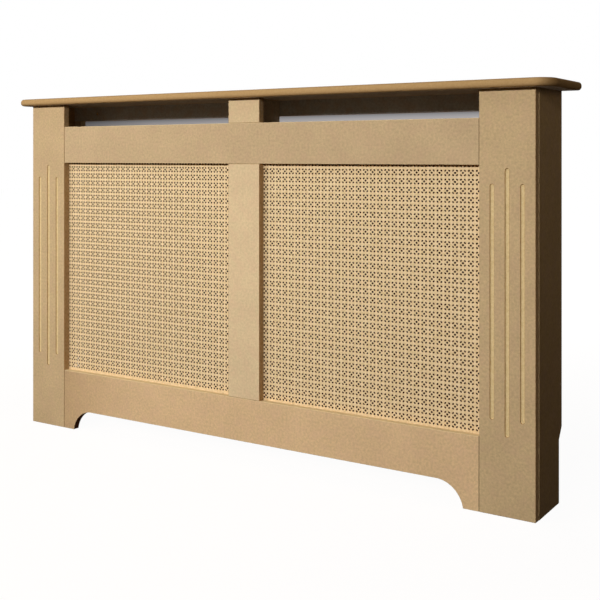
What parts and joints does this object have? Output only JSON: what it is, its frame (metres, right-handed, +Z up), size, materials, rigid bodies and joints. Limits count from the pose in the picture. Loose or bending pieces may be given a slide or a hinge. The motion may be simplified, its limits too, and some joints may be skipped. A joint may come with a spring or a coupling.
{
  "type": "radiator cover",
  "caption": "Free-standing MDF radiator cover: a fluted front frame with perforated sheets and an air vent, side panels, and a round-edged shelf; open at the back and below.",
  "frame": {"origin": "on the floor, under the centre of the overall box", "axes": "+X to the right as seen from the front, +Y from the front to the wall, +Z up"},
  "size_m": [1.544, 0.188, 0.9],
  "materials": {
    "mdf": "bare MDF, sanded faces and routed edges, matt",
    "hardboard": "bare perforated thin fibreboard, smooth and matt",
    "beech": "pressed beech, bare",
    "steel": "galvanised wire, dull"
  },
  "bodies": {
    "root": {"top_shelf": "mdf", "side_panel_left": "mdf", "side_panel_right": "mdf", "pilaster_left": "mdf", "pilaster_right": "mdf", "top_rail": "mdf", "bottom_rail": "mdf", "centre_stile": "mdf", "vent_block": "mdf", "rear_rail": "mdf", "centre_brace": "mdf", "rear_batten_left": "mdf", "rear_batten_right": "mdf", "corner_batten_left": "mdf", "corner_batten_right": "mdf", "grille_left": "hardboard", "grille_right": "hardboard", "rail_biscuits": "beech", "stile_biscuits": "beech", "shelf_biscuits": "beech", "corner_batten_brads": "steel", "rear_batten_brads": "steel", "brace_brads": "steel", "grille_staples_left": "steel", "grille_staples_right": "steel"}
  },
  "joints": []
}
